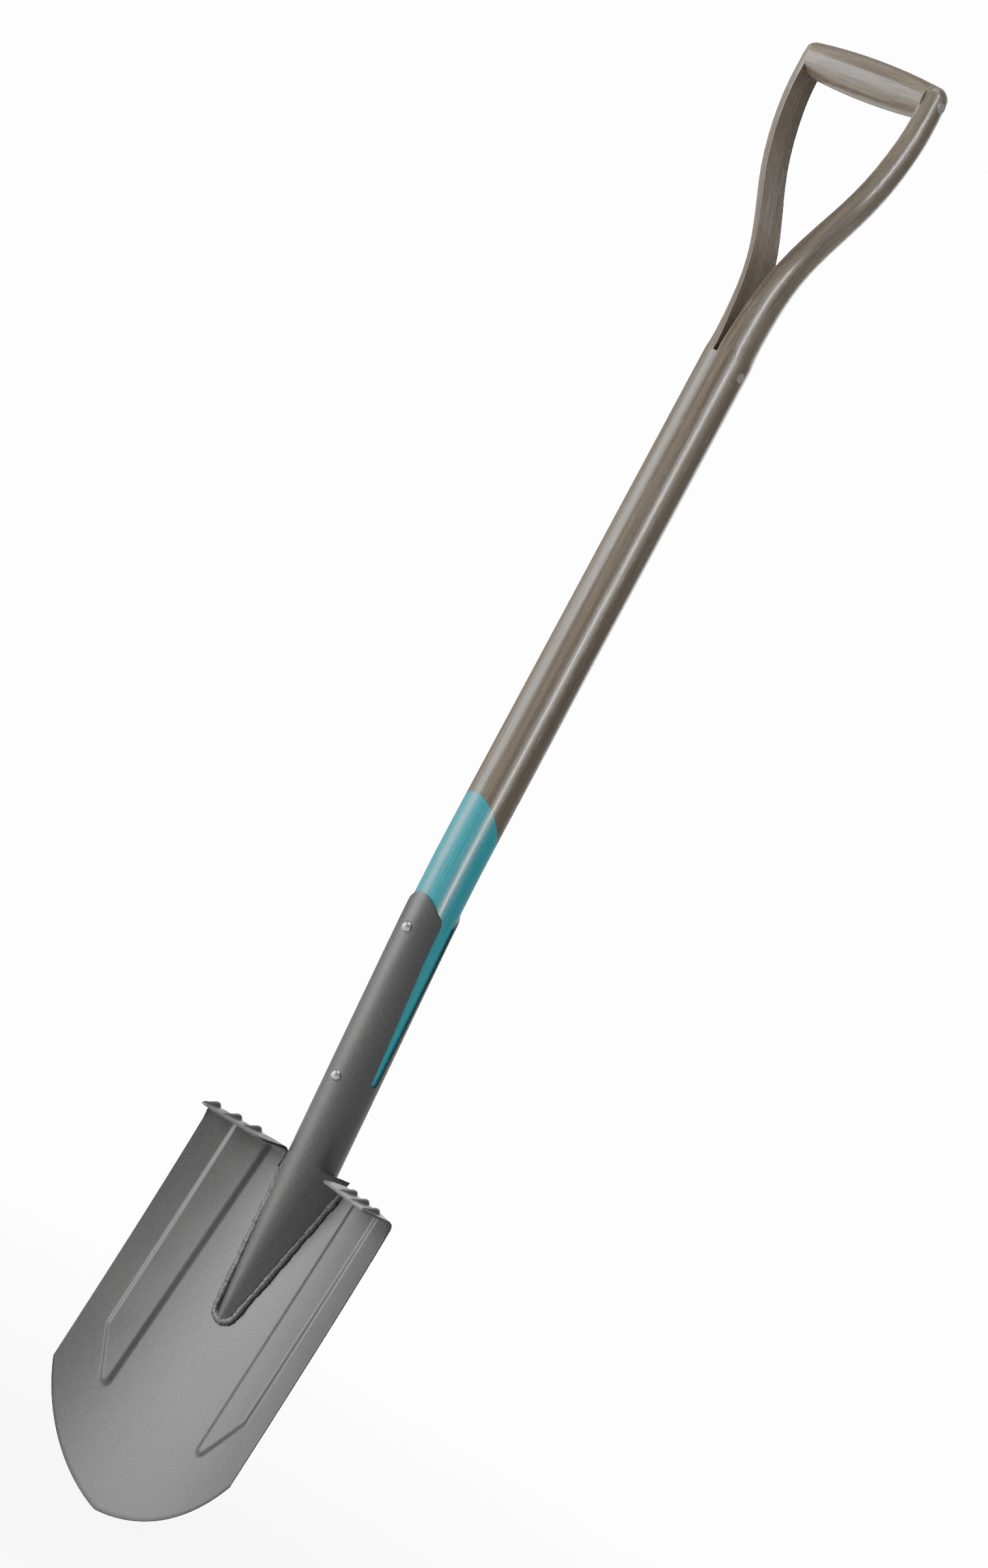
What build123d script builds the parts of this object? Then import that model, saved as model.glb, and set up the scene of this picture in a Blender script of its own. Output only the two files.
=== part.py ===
from build123d import *
import math
import os

# Garden spade with a pointed blade and a split D handle.
# While it is being built, the straight part of the shaft stands on the Z axis, the blade's hollow
# side faces -Y and the blade's tip is at height zero. Every piece is then moved along Y together, so
# that the origin ends up under the centre of the whole spade. Lengths are in mm, angles in degrees.

# ---- overall ----
total_length = 1165.0          # blade tip to the top of the grip
tread_height = 286.0           # tip to the bend of the foot treads
blade_width = 197.0

# ---- blade sheet ----
blade_sheet = 1.8
blade_lean = 9.0               # the blade's centre line against the shaft, tip forward
blade_set_back = 28.0          # blade behind the shaft's axis, at tread height
dish_at_treads = 27.0          # how far the edges stand forward of the centre line
dish_at_corners = 17.0
corner_height = 72.0           # where the straight edges end
point_bulge = 15.0             # how far the lower edges bow out of a straight line
tip_rounding = 9.0

# ---- ribs pressed forward into the blade ----
rib_rise = 1.7
rib_inner_x = 46.0
rib_edge_margin = 21.5         # from the blade's side edge to the rib
rib_top_gap = 16.0             # from the tread down to where the full height starts
rib_kink_height = 111.0
rib_tip_height = 74.0
rib_tip_x = 53.5
rib_tip_radius = 4.0

# ---- foot treads ----
tread_depth = 33.0
tread_inner_x = 32.5
tread_rake = 0.5               # the tread is all but level, and falls towards its free edge
tread_sweep = 0.24             # forward run of the free edge for each mm outwards
tread_bend_radius = 6.0
tread_end_slant = 11.0         # the outer end is cut back towards the free edge
tread_corner_radius = 5.0

# ---- cleats pressed up into each tread ----
cleat_count = 3
cleat_edge_margin = 12.3       # from the blade's side edge to the last cleat
cleat_first_x = 52.0
cleat_length = 16.0
cleat_end_radius = 3.9
cleat_tip_radius = 0.9
cleat_tail_share = 0.48        # of the tread, from the bend to the middle of the fat end

# ---- shaft and socket ----
shaft_diameter = 37.0
socket_wall = 1.6
socket_fit = 0.05              # radial clearance between the wood and the tube
bend_angle = 4.3               # cant of the socket against the shaft
bend_rise = 219.0              # all the rises on the socket are over the tread height
bend_radius = 1300.0
shaft_end_rise = 17.0
shaft_end_taper = 26.0         # length of the cone at the hidden end
shaft_end_slimming = 7.0       # taken off the diameter

# ---- straps ----
strap_rise = 210.0
strap_crown = 36.0             # height of the rounded top of each strap
strap_crown_overhang = 2.85     # the crown is a little wider than the tube, so its sides end blunt
slot_rise = 70.0
slot_width_bottom = 7.0
slot_width_top = 15.0
slot_widening = 95.0           # length over which the slot opens

# ---- frog: the flattened lower end of the socket ----
frog_half_width = 31.8
frog_length = 129.0            # from the tread height down to the toe
frog_toe_radius = 11.0
frog_toe_rise = 5.0            # height of the ridge over the blade at the toe
frog_toe_crown = 6.0           # radius of the ridge at the toe
weld_radius = 2.2
weld_sink = 0.2                # how far the bead bites into the sheet
weld_stand_off = 2.3           # the bead lies outside the edge that it joins

# ---- cradle: half cone pressed backwards out of the blade, behind the socket ----
cradle_gap = 0.2
cradle_length = 80.0
cradle_end_radius = 4.0
cradle_top_drop = 3.0          # below the tread height
socket_tail = 14.0             # how far the tube runs down into the cradle

# ---- split handle ----
split_length = 235.0
kerf_width = 4.0
grip_radius = 15.6             # at the middle of the barrel
grip_end_radius = 12.6         # where the barrel meets the arms
grip_total_width = 131.0
grip_corner_radius = 8.0
arm_spread = 52.0              # outward travel of each arm's flat inner face
arm_set_forward = 4.0          # the arms' tops stand forward of the shaft's axis
arm_half_width_top = 11.2      # across the arm, at the grip
arm_thickness_top = 11.5       # from the flat face to the round back, at the grip
arm_thinning_share = 0.45      # share of the arm in which it thins down
# how far up the arm, and how much of the spread is reached there, as shares
arm_stations = [(0.07, 0.01), (0.16, 0.05), (0.32, 0.18), (0.50, 0.49), (0.68, 0.82), (0.85, 0.98)]
arm_sections = 12

# ---- rivets ----
strap_rivet_diameter = 5.0
strap_head_diameter = 8.4
strap_head_height = 3.0
strap_head_gap = 0.05
upper_rivet_rise = 185.0
lower_rivet_rise = 68.0
grip_rivet_diameter = 8.6
grip_rivet_inset = 0.4         # its ends lie just under the wood
split_rivet_diameter = 7.5
split_rivet_drop = 9.0          # below the foot of the split
split_rivet_inset = 0.3
rivet_fit = 0.02               # radial clearance of each rivet in the wood

half_blade = blade_width / 2
rib_outer_x = half_blade - rib_edge_margin
cleat_pitch = (half_blade - cleat_edge_margin - cleat_first_x) / (cleat_count - 1)
bend_height = tread_height + bend_rise
shaft_end_height = tread_height + shaft_end_rise
shaft_end_diameter = shaft_diameter - shaft_end_slimming
strap_top = tread_height + strap_rise
slot_bottom = tread_height + slot_rise
frog_toe_height = tread_height - frog_length
upper_rivet_height = tread_height + upper_rivet_rise
lower_rivet_height = tread_height + lower_rivet_rise
kerf_bottom = total_length - split_length
split_rivet_height = kerf_bottom - split_rivet_drop
bend_zone = tread_height - 14.0  # above this height the treads bend out of the blade
junction = tread_height + 2.0    # where the tube turns into the frog
socket_bore_radius = shaft_diameter / 2 + socket_fit
socket_radius = socket_bore_radius + socket_wall
strap_crown_half = socket_radius + strap_crown_overhang
grip_height = total_length - grip_radius
arm_height = grip_height - kerf_bottom
cant = math.tan(math.radians(bend_angle))
lean = math.tan(math.radians(blade_lean))
reach = 400.0                  # longer than anything that it cuts
blade_slab = Box(2 * reach, 120, 4 * reach)


def axis_y(height):
    """Where the socket's axis lies below the bend."""
    return (bend_height - height) * cant


def centre_y(height):
    """Front face of the blade on its centre line."""
    return blade_set_back - (tread_height - height) * lean


def dish_radius(height):
    """Radius across the blade, from the forward stand of its edges at that height."""
    share = (height - corner_height) / (tread_height - corner_height)
    dish = dish_at_corners + (dish_at_treads - dish_at_corners) * share
    return (half_blade ** 2 + dish ** 2) / (2 * dish)


def front_y(x, height):
    """Front face of the blade anywhere."""
    radius = dish_radius(height)
    return centre_y(height) - radius + math.sqrt(radius ** 2 - x ** 2)


def region_before_blade(offset, low=-30.0, high=tread_height + 40.0):
    """Cone whose rear side is the blade's front face, moved back by offset."""
    rings = []
    for height in (low, high):
        radius = dish_radius(height)
        ring = Pos(0, centre_y(height) - radius, height) * Circle(radius + offset)
        rings.append(ring)
    return loft(rings, ruled=True)


def below_tread(solid, drop):
    """Keep what is under the tread's top plane, lowered by drop."""
    tilt = Rot(X=tread_rake)
    cover = Pos(0, blade_set_back, tread_height - drop) * tilt * Pos(0, 0, reach / 2)
    return solid - cover * Box(2 * reach, 2 * reach, reach)


def along_y(outline):
    """Prism with an outline drawn in the XZ plane, running far both ways along Y."""
    return extrude(Plane.XZ * outline, amount=reach, both=True)


def round_top_edge(solid, radius):
    rim = solid.edges().filter_by(GeomType.LINE, reverse=True).sort_by(Axis.Z)[-1]
    return fillet(rim, radius)


def blade_outline(top):
    """Front view of the blade: straight edges, then two bowed edges that meet at the tip."""
    right = Line((half_blade, top), (half_blade, corner_height))
    middle_x, middle_z = half_blade / 2, corner_height / 2
    chord = math.hypot(half_blade, corner_height)
    bow_x = middle_x + point_bulge * corner_height / chord
    bow_z = middle_z - point_bulge * half_blade / chord
    low_right = ThreePointArc((half_blade, corner_height), (bow_x, bow_z), (0, 0))
    low_left = ThreePointArc((0, 0), (-bow_x, bow_z), (-half_blade, corner_height))
    left = Line((-half_blade, corner_height), (-half_blade, top))
    closing = Line((-half_blade, top), (half_blade, top))
    outline = make_face(Curve() + [right, low_right, low_left, left, closing])
    return fillet(outline.vertices().sort_by(Axis.Y)[0], tip_rounding)


def tread_outline(side):
    """Top view of one tread, from well behind the blade to its free edge."""
    front_inner = centre_y(tread_height) - tread_depth - 3.0
    outer_x = half_blade - tread_end_slant
    front_outer = front_inner - (outer_x - tread_inner_x) * tread_sweep
    points = [
        (side * tread_inner_x, blade_set_back + 20),
        (side * (tread_inner_x + 2), front_inner),
        (side * outer_x, front_outer),
        (side * half_blade, front_y(half_blade, tread_height) - 1.0),
        (side * half_blade, blade_set_back + 20),
    ]
    outline = make_face(Polyline(points, close=True))
    free_corners = outline.vertices().sort_by(Axis.Y)[:2]
    return fillet(free_corners, tread_corner_radius)


def rib_outline(side, inset):
    """Front view of one rib: a long panel, slanted at its lower end to a rounded tip."""
    top = tread_height - rib_top_gap - inset
    points = [
        (side * (rib_inner_x + inset), top),
        (side * (rib_tip_x - rib_tip_radius), rib_tip_height + inset),
        (side * (rib_tip_x + rib_tip_radius), rib_tip_height + inset),
        (side * (rib_outer_x - inset), rib_kink_height + inset),
        (side * (rib_outer_x - inset), top),
    ]
    outline = make_face(Polyline(points, close=True))
    tip_corners = outline.vertices().sort_by(Axis.Y)[:2]
    return fillet(tip_corners, rib_tip_radius - inset / 2)


def cleat(x):
    """Drop-shaped bump along the tread, pointed at the free edge."""
    back = CenterArc((0, 0), cleat_end_radius, 0, 82)
    flank = Polyline(
        back @ 1, (0, (back @ 1).Y), (0, -cleat_length), (cleat_tip_radius, -cleat_length), back @ 0
    )
    drop = revolve(make_face(Curve() + [back, flank]), Axis.Y, 360)
    root_y = front_y(x, tread_height) + blade_sheet
    fall = (blade_set_back - root_y) * math.tan(math.radians(tread_rake))
    tail = tread_depth * cleat_tail_share
    return Pos(x, root_y, tread_height - fall) * Rot(X=tread_rake) * Pos(0, -tail, 0) * drop


def cradle_form(swell):
    """Sleeve round the socket's tail, then a cone that dies out in the blade; swell is its skin."""
    top = tread_height - cradle_top_drop
    waist = tread_height - socket_tail - 1.0
    foot = waist - cradle_length
    radius = socket_radius + cradle_gap + swell
    foot_radius = cradle_end_radius - blade_sheet + swell
    foot_y = centre_y(foot) + blade_sheet - cradle_end_radius
    wide = Pos(0, axis_y(waist), waist) * Circle(radius)
    sleeve_top = Pos(0, axis_y(top), top) * Circle(radius)
    narrow = Pos(0, foot_y, foot) * Circle(foot_radius)
    return loft([narrow, wide], ruled=True) + loft([wide, sleeve_top], ruled=True)


def rim_bridge():
    """Flat stretch of sheet between the two treads, behind the socket."""
    top = tread_height - cradle_top_drop
    box = Pos(0, 0, (bend_zone + top) / 2) * Box(2 * tread_inner_x + 1, 2 * reach, top - bend_zone)
    return box & (region_before_blade(blade_sheet) - region_before_blade(0)) & blade_slab


def make_blade():
    outer = round_top_edge(below_tread(region_before_blade(blade_sheet), 0), tread_bend_radius)
    inner = below_tread(region_before_blade(0), blade_sheet)
    inner = round_top_edge(inner, tread_bend_radius - blade_sheet)
    wall = along_y(blade_outline(bend_zone)) & (Pos(0, 30, 0) * blade_slab)
    slab = Pos(0, 0, bend_zone) * extrude(tread_outline(1) + tread_outline(-1), amount=40)
    sheet = (outer - inner) & (wall + slab)
    sheet += rim_bridge()

    raised = region_before_blade(0) - region_before_blade(-rib_rise)
    hollow = region_before_blade(blade_sheet) - region_before_blade(blade_sheet - rib_rise)
    behind = blade_slab - region_before_blade(0)
    for side in (1, -1):
        sheet += raised & along_y(rib_outline(side, 0)) & blade_slab
        sheet -= hollow & along_y(rib_outline(side, blade_sheet)) & blade_slab
        for number in range(cleat_count):
            x = side * (cleat_first_x + number * cleat_pitch)
            sheet += cleat(x)
    sheet += cradle_form(blade_sheet) & behind
    sheet -= cradle_form(0)
    return sheet


def shaft_path(low, high):
    """Socket and shaft axis: straight, one wide arc, straight."""
    return FilletPolyline(
        (0, axis_y(low), low), (0, 0, bend_height), (0, 0, high), radius=bend_radius
    )


def rod_along_shaft(radius, low, high):
    path = shaft_path(low, high)
    return sweep(Plane(path @ 0, z_dir=path % 0) * Circle(radius), path=path)


def on_socket(height):
    """Place on the canted socket axis, Z along the socket."""
    return Pos(0, axis_y(height), height) * Rot(X=bend_angle)


def frog_section(height, inset):
    """Rounded ridge with two straight flanks, closed well behind the blade's face.

    It is drawn square to the socket, so at the junction its ridge is the tube's own round.
    """
    foot = frog_toe_height + frog_toe_radius
    share = (height - foot) / (junction - foot)
    toe_ridge = centre_y(foot) - frog_toe_rise - axis_y(foot)
    ridge = toe_ridge + (-socket_radius - toe_ridge) * share + inset
    crown = frog_toe_crown + (socket_radius - frog_toe_crown) * share - inset
    half = frog_toe_radius + (frog_half_width - frog_toe_radius) * share - inset
    foot_y = front_y(half, height) - axis_y(height) + 2.0
    crown_y = ridge + crown
    run_x, run_y = half, foot_y - crown_y
    tangent = math.atan2(run_y, run_x) - math.acos(crown / math.hypot(run_x, run_y))
    touch = (crown * math.cos(tangent), crown_y + crown * math.sin(tangent))
    arc = ThreePointArc((-touch[0], touch[1]), (0, ridge), touch)
    flank = Polyline(
        touch, (half, foot_y), (half, foot_y + 6), (-half, foot_y + 6), (-half, foot_y),
        (-touch[0], touch[1]),
    )
    return on_socket(height) * make_face(Curve() + [arc, flank])


def frog_outline(grow):
    """Front view of the frog: two straight sides that close on a round toe."""
    foot = frog_toe_height + frog_toe_radius
    half, toe = frog_half_width + grow + 4, frog_toe_radius + grow
    top = junction + 10
    sides = Polyline((-toe, foot), (-half, top), (half, top), (toe, foot))
    end = ThreePointArc((toe, foot), (0, foot - toe), (-toe, foot))
    return make_face(Curve() + [sides, end])


def frog_block(inset):
    sections = [frog_section(frog_toe_height, inset), frog_section(junction, inset)]
    return loft(sections, ruled=True) & along_y(frog_outline(-inset))


def make_socket():
    upper = strap_top + 100
    tube = rod_along_shaft(socket_radius, junction, upper)
    tube = tube - rod_along_shaft(socket_bore_radius, junction - 1, upper)
    crown = Pos(0, strap_top - strap_crown) * Ellipse(strap_crown_half, strap_crown)
    body = Pos(0, (strap_top - strap_crown) / 2) * Rectangle(2 * reach, strap_top - strap_crown)
    tube = tube & along_y(body + crown)

    frog = (frog_block(0) - frog_block(socket_wall)) & region_before_blade(0)
    tail = Cylinder(socket_radius, socket_tail) - Cylinder(socket_bore_radius, 2 * socket_tail)
    tail = tail & (Pos(0, socket_radius, 0) * Box(2 * reach, 2 * socket_radius - 6, reach))
    shell = tube + frog + on_socket(junction) * Pos(0, 0, -socket_tail / 2) * tail

    half_low, half_high = slot_width_bottom / 2, slot_width_top / 2
    start = slot_bottom + half_low
    slot = make_face(Polyline(
        (-half_low, start), (-half_high, start + slot_widening), (-half_high, strap_top + 9),
        (half_high, strap_top + 9), (half_high, start + slot_widening), (half_low, start),
        close=True,
    )) + Pos(0, start) * Circle(half_low)
    cutter = extrude(Plane.YZ * slot, amount=reach, both=True)
    pivot = on_socket(bend_height) * Pos(0, 0, -bend_height)
    shell = shell - pivot * cutter
    for height in (lower_rivet_height, upper_rivet_height):
        shell = shell - strap_rivet_hole(height)
    return shell


def strap_rivet_hole(height):
    return on_socket(height) * Rot(X=90) * Cylinder(strap_rivet_diameter / 2 + rivet_fit, 80)


def strap_rivet(height):
    """Shank through both straps and the wood, with a domed head at each end."""
    head_radius = strap_head_diameter / 2
    dome_radius = (head_radius ** 2 + strap_head_height ** 2) / (2 * strap_head_height)
    seat = socket_radius + strap_head_gap
    dome = Pos(0, 0, seat + strap_head_height - dome_radius) * Sphere(dome_radius)
    head = dome & (Pos(0, 0, seat + dome_radius) * Box(*[2 * dome_radius] * 3))
    shank = Cylinder(strap_rivet_diameter / 2, 2 * seat + 0.2)
    rivet = shank + head + Rot(X=180) * head
    return on_socket(height) * Rot(X=90) * rivet


def arm_curve():
    """Flat inner face of the arm at +X, seen from the front."""
    start = kerf_width / 2
    points = [(start, 0, kerf_bottom)]
    for share, reached in arm_stations:
        points.append((start + reached * arm_spread, 0, kerf_bottom + share * arm_height))
    points.append((start + arm_spread, 0, grip_height))
    return Spline(points, tangents=[(0, 0, 1), (0, 0, 1)])


def arm_section(place, upward, share):
    """D shape: flat towards the other arm and round away from it."""
    shaft_half = math.sqrt(shaft_diameter ** 2 - kerf_width ** 2) / 2
    half = shaft_half + (arm_half_width_top - shaft_half) * share
    thinned = min(share / arm_thinning_share, 1.0)
    full = shaft_diameter / 2 - kerf_width / 2
    thick = full - (full - arm_thickness_top) * (1 - (1 - thinned) ** 2)
    outward = Vector(upward.Z, 0, -upward.X)
    plane = Plane(origin=place, x_dir=outward, z_dir=upward)
    back = ThreePointArc((0, -half), (thick, 0), (0, half))
    return plane * make_face(Curve() + [back, Line((0, half), (0, -half))])


def make_arm():
    curve = arm_curve()
    sections = []
    for number in range(arm_sections):
        along = number / (arm_sections - 1)
        place, upward = curve @ along, curve % along
        share = (place.Z - kerf_bottom) / arm_height
        place = place - Vector(0, arm_set_forward * share, 0)
        sections.append(arm_section(place, upward, share))
    arm = loft(sections)
    straight = arm_section(
        Vector(kerf_width / 2 + arm_spread, -arm_set_forward, grip_height), Vector(0, 0, 1), 1.0
    )
    return arm + extrude(straight, amount=2 * grip_radius, dir=(0, 0, 1))


def grip_envelope():
    """Barrel with rounded ends that the grip and the arms' tops share."""
    half = grip_total_width / 2
    end_x = half - grip_corner_radius
    side = ThreePointArc((-end_x, grip_end_radius), (0, grip_radius), (end_x, grip_end_radius))
    core = grip_end_radius - grip_corner_radius
    right = EllipticalCenterArc((end_x, core), grip_corner_radius, grip_corner_radius, start_angle=0, arc_size=90)
    left = EllipticalCenterArc((-end_x, core), grip_corner_radius, grip_corner_radius, start_angle=90, arc_size=90)
    frame = Polyline((-half, core), (-half, 0), (half, 0), (half, core))
    profile = make_face(Curve() + [side, right, left, frame])
    turned = revolve(profile, Axis.X, 360)
    return Pos(0, -arm_set_forward, grip_height) * turned


def grip_hole():
    across = Rot(Y=90) * Cylinder(grip_rivet_diameter / 2 + rivet_fit, 2 * reach)
    return Pos(0, -arm_set_forward, grip_height) * across


def split_hole():
    across = Rot(Y=90) * Cylinder(split_rivet_diameter / 2 + rivet_fit, 2 * reach)
    return Pos(0, 0, split_rivet_height) * across


def both_arms():
    arm = make_arm()
    return arm + mirror(arm, Plane.YZ)


def make_handle(arms, envelope):
    wood = rod_along_shaft(shaft_diameter / 2, shaft_end_height, kerf_bottom)
    cone = Cone(shaft_end_diameter / 2, shaft_diameter / 2 + 0.2, shaft_end_taper)
    ring = Pos(0, 0, shaft_end_taper / 2) * (Cylinder(shaft_diameter, shaft_end_taper) - cone)
    wood = wood - on_socket(shaft_end_height) * ring
    upper = Pos(0, 0, grip_height + reach) * Box(2 * reach, 2 * reach, 2 * reach)
    wood = wood + (arms - (upper - envelope))
    wood = wood - grip_hole() - split_hole()
    for height in (lower_rivet_height, upper_rivet_height):
        wood = wood - strap_rivet_hole(height)
    return wood


def make_grip(arms, envelope):
    width = 2 * (arm_spread + kerf_width / 2) + 2.0
    barrel = envelope & (Pos(0, 0, grip_height) * Box(width, reach, reach))
    return barrel - arms - grip_hole()


def make_grip_rivet():
    rod = Rot(Y=90) * Cylinder(grip_rivet_diameter / 2, grip_total_width - 2 * grip_rivet_inset)
    return Pos(0, -arm_set_forward, grip_height) * rod


def make_split_rivet():
    length = shaft_diameter - 2 * split_rivet_inset
    rod = Rot(Y=90) * Cylinder(split_rivet_diameter / 2, length)
    wood = Pos(0, 0, split_rivet_height) * Cylinder(shaft_diameter / 2, 4 * split_rivet_diameter)
    return (Pos(0, 0, split_rivet_height) * rod) & wood


def rod_between(start, end, radius):
    axis = Vector(*end) - Vector(*start)
    plane = Plane(origin=start, z_dir=axis)
    return plane * Pos(0, 0, axis.length / 2) * Cylinder(radius, axis.length)


def make_front_weld():
    """Bead round the frog: down one side, round the toe and up the other side."""
    lift = weld_radius - weld_sink
    top, foot = tread_height - 8.0, frog_toe_height + frog_toe_radius
    wide, narrow = frog_half_width + weld_stand_off, frog_toe_radius + weld_stand_off
    upper = (wide, front_y(wide, top) - lift, top)
    lower = (narrow, front_y(narrow, foot) - lift, foot)
    half_ring = Torus(narrow, weld_radius) & (Pos(0, -2 * narrow, 0) * Box(
        4 * narrow, 4 * narrow, 4 * narrow
    ))
    toe = Pos(0, lower[1], foot) * Rot(X=90 - blade_lean) * half_ring
    bead = toe
    for side in (1, -1):
        start = (side * upper[0], upper[1], upper[2])
        end = (side * lower[0], lower[1], lower[2])
        bead += rod_between(start, end, weld_radius) + Pos(*end) * Sphere(weld_radius)
    return bead


def make_rear_weld(blade, socket):
    """Bead along the top rim of the cradle, round the back of the socket."""
    height = tread_height - cradle_top_drop + 0.6
    radius = socket_radius + cradle_gap + blade_sheet / 2
    ends = [(radius * math.cos(turn), radius * math.sin(turn)) for turn in (0.30, math.pi - 0.30)]
    arc = ThreePointArc((*ends[0], 0), (0, radius, 0), (*ends[1], 0))
    path = Pos(0, axis_y(height), height) * arc
    bead = sweep(Plane(path @ 0, z_dir=path % 0) * Circle(weld_radius * 0.8), path=path)
    return bead - blade - socket


socket = make_socket()
blade = make_blade()
arms = both_arms()
envelope = grip_envelope()
pieces = {
    "blade": blade,
    "socket": socket,
    "front_weld": make_front_weld(),
    "rear_weld": make_rear_weld(blade, socket),
    "handle": make_handle(arms, envelope),
    "grip": make_grip(arms, envelope),
    "grip_rivet": make_grip_rivet(),
    "split_rivet": make_split_rivet(),
    "upper_strap_rivet": strap_rivet(upper_rivet_height),
    "lower_strap_rivet": strap_rivet(lower_rivet_height),
}

low_y = min(piece.bounding_box().min.Y for piece in pieces.values())
high_y = max(piece.bounding_box().max.Y for piece in pieces.values())
low_z = min(piece.bounding_box().min.Z for piece in pieces.values())
to_origin = Pos(0, -(low_y + high_y) / 2, -low_z)

os.makedirs("parts", exist_ok=True)
for name, piece in pieces.items():
    solids = piece.solids()
    print(name, len(solids), "solids", round(sum(solid.volume for solid in solids), 1), "mm3")
    placed = to_origin * (solids[0] if len(solids) == 1 else Compound(children=solids))
    export_step(placed, "parts/" + name + ".step")
print("moved along Y by", round(-(low_y + high_y) / 2, 3), "and along Z by", round(-low_z, 3))
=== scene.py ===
import math

import bpy
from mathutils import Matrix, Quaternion, Vector, noise


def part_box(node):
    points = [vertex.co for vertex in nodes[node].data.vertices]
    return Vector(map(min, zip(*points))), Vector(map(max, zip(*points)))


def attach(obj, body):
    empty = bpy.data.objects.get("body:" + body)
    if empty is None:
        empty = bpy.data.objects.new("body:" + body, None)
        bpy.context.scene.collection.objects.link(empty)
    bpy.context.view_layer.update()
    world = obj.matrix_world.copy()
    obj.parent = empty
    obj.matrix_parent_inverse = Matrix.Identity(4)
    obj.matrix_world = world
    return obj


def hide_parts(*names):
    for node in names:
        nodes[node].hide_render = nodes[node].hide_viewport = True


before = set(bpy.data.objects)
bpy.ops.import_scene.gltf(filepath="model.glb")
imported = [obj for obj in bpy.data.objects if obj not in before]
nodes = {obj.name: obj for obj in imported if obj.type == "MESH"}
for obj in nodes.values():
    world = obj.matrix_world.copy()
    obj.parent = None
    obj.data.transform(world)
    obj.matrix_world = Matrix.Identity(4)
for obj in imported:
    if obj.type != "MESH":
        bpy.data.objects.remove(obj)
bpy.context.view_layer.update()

scene = bpy.context.scene
MM = 0.001

# Shapes are worked out in millimetres from the shaft's axis and the blade's tip, as in part.py.
# The split rivet lies on that axis, so its box places the axis in the frame.
SPLIT_RIVET_HEIGHT = 921.0
rivet_low, rivet_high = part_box("split_rivet")
SHIFT_Y = (rivet_low.y + rivet_high.y) / 2
SHIFT_Z = (rivet_low.z + rivet_high.z) / 2 - SPLIT_RIVET_HEIGHT * MM

# ---------------------------------------------------------------- sizes, as in part.py
TREAD = 286.0                 # height of the foot treads
HALF = 98.5                   # half the blade's width
SHEET = 1.8
CORNER = 72.0                 # where the straight side edges end
EDGE_BOW = 15.0               # how far the lower edges bow out of their chord
TIP_RADIUS = 9.0
TIP_HEIGHT = 0.13             # lowest point of the sheet
SET_BACK = 28.0               # centre line behind the shaft's axis, at the treads
DISH_TREAD, DISH_CORNER = 27.0, 17.0
RING_LOW, RING_HIGH = -30.0, TREAD + 40.0
LEAN = math.tan(math.radians(9.0))
CANT = math.tan(math.radians(4.3))
BEND_HEIGHT = 505.0           # above it the socket runs straight up the shaft

RAKE_ANGLE = math.radians(0.5)
RAKE = math.tan(RAKE_ANGLE)
BEND_ZONE = 270.0             # above it the sheet bends into the treads
BEND_RADIUS = 6.0
INNER_X = 32.5                # inner end of each tread
SLANT = 11.0                  # width of the slanted outer end
TREAD_DEPTH = 36.0
TREAD_TAPER = 0.24            # how much shallower per millimetre of width
TREAD_CORNER = 5.0
TREAD_FRONT = -22.2           # the free edge stays behind this
RIM_DROP = 3.0                # the rim beside the socket, below the treads

RIB_RISE = 1.7
RIB_RAMP = 4.0                # how far the ramps reach outside the flat top
RIB_TOP = [(50.0, 300.0), (53.5, 79.0), (54.2, 79.0), (73.0, 113.0), (73.0, 300.0)]

CLEATS = [52.0, 69.1, 86.2]
CLEAT_RADIUS, CLEAT_TIP_RADIUS = 3.9, 0.9
CLEAT_LENGTH = 16.0
CLEAT_SET = 15.8              # fat end's centre, in front of the sheet's rear face
CLEAT_REACH = 6.5             # nothing is raised further than this to either side

CRADLE_FOOT, CRADLE_LENGTH = 191.0, 80.0
CRADLE_TOP = CRADLE_FOOT + CRADLE_LENGTH
CRADLE_FOOT_RADIUS, CRADLE_TOP_RADIUS = 2.2, 20.35
CRADLE_REACH = 34.0

FROG_FOOT, FROG_TOP = 168.0, 288.0
FROG_TOE_RADIUS, FROG_TOP_HALF = 11.0, 31.8
WELD_TOP = 281.0
WELD_RADIUS = 2.5
WELD_SINK = 0.7               # the bead's path lies this far in and forward

ARM_FOOT, ARM_HEIGHT, ARM_SPREAD = 930.0, 219.4, 52.0
# how far up the arm, and how much of the spread is reached there, as shares
ARM_STATIONS = [
    (0.0, 0.0), (0.07, 0.01), (0.16, 0.05), (0.32, 0.18),
    (0.50, 0.49), (0.68, 0.82), (0.85, 0.98), (1.0, 1.0),
]
GRIP_HALF = 65.5
GRIP_ROUNDING = 17.0          # length over which the grip's ends are eased
GRIP_END_RADIUS, GRIP_RADIUS = 2.6, 15.0


def at(x, y, z):
    """Point in millimetres, from the shaft's axis, to the part's frame in metres."""
    return Vector((x * MM, y * MM + SHIFT_Y, z * MM + SHIFT_Z))


def axis_y(z):
    """How far the canted socket's axis stands behind the shaft's."""
    return max(0.0, (BEND_HEIGHT - z) * CANT)


def centre_y(z):
    return SET_BACK - (TREAD - z) * LEAN


def ring_radius(z):
    dish = DISH_CORNER + (DISH_TREAD - DISH_CORNER) * (z - CORNER) / (TREAD - CORNER)
    return (HALF**2 + dish**2) / (2 * dish)


RADIUS_LOW, RADIUS_HIGH = ring_radius(RING_LOW), ring_radius(RING_HIGH)


def dish_radius(z):
    """The blade is part of a cone, so its radius changes evenly with height."""
    share = (z - RING_LOW) / (RING_HIGH - RING_LOW)
    return RADIUS_LOW + (RADIUS_HIGH - RADIUS_LOW) * share


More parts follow.
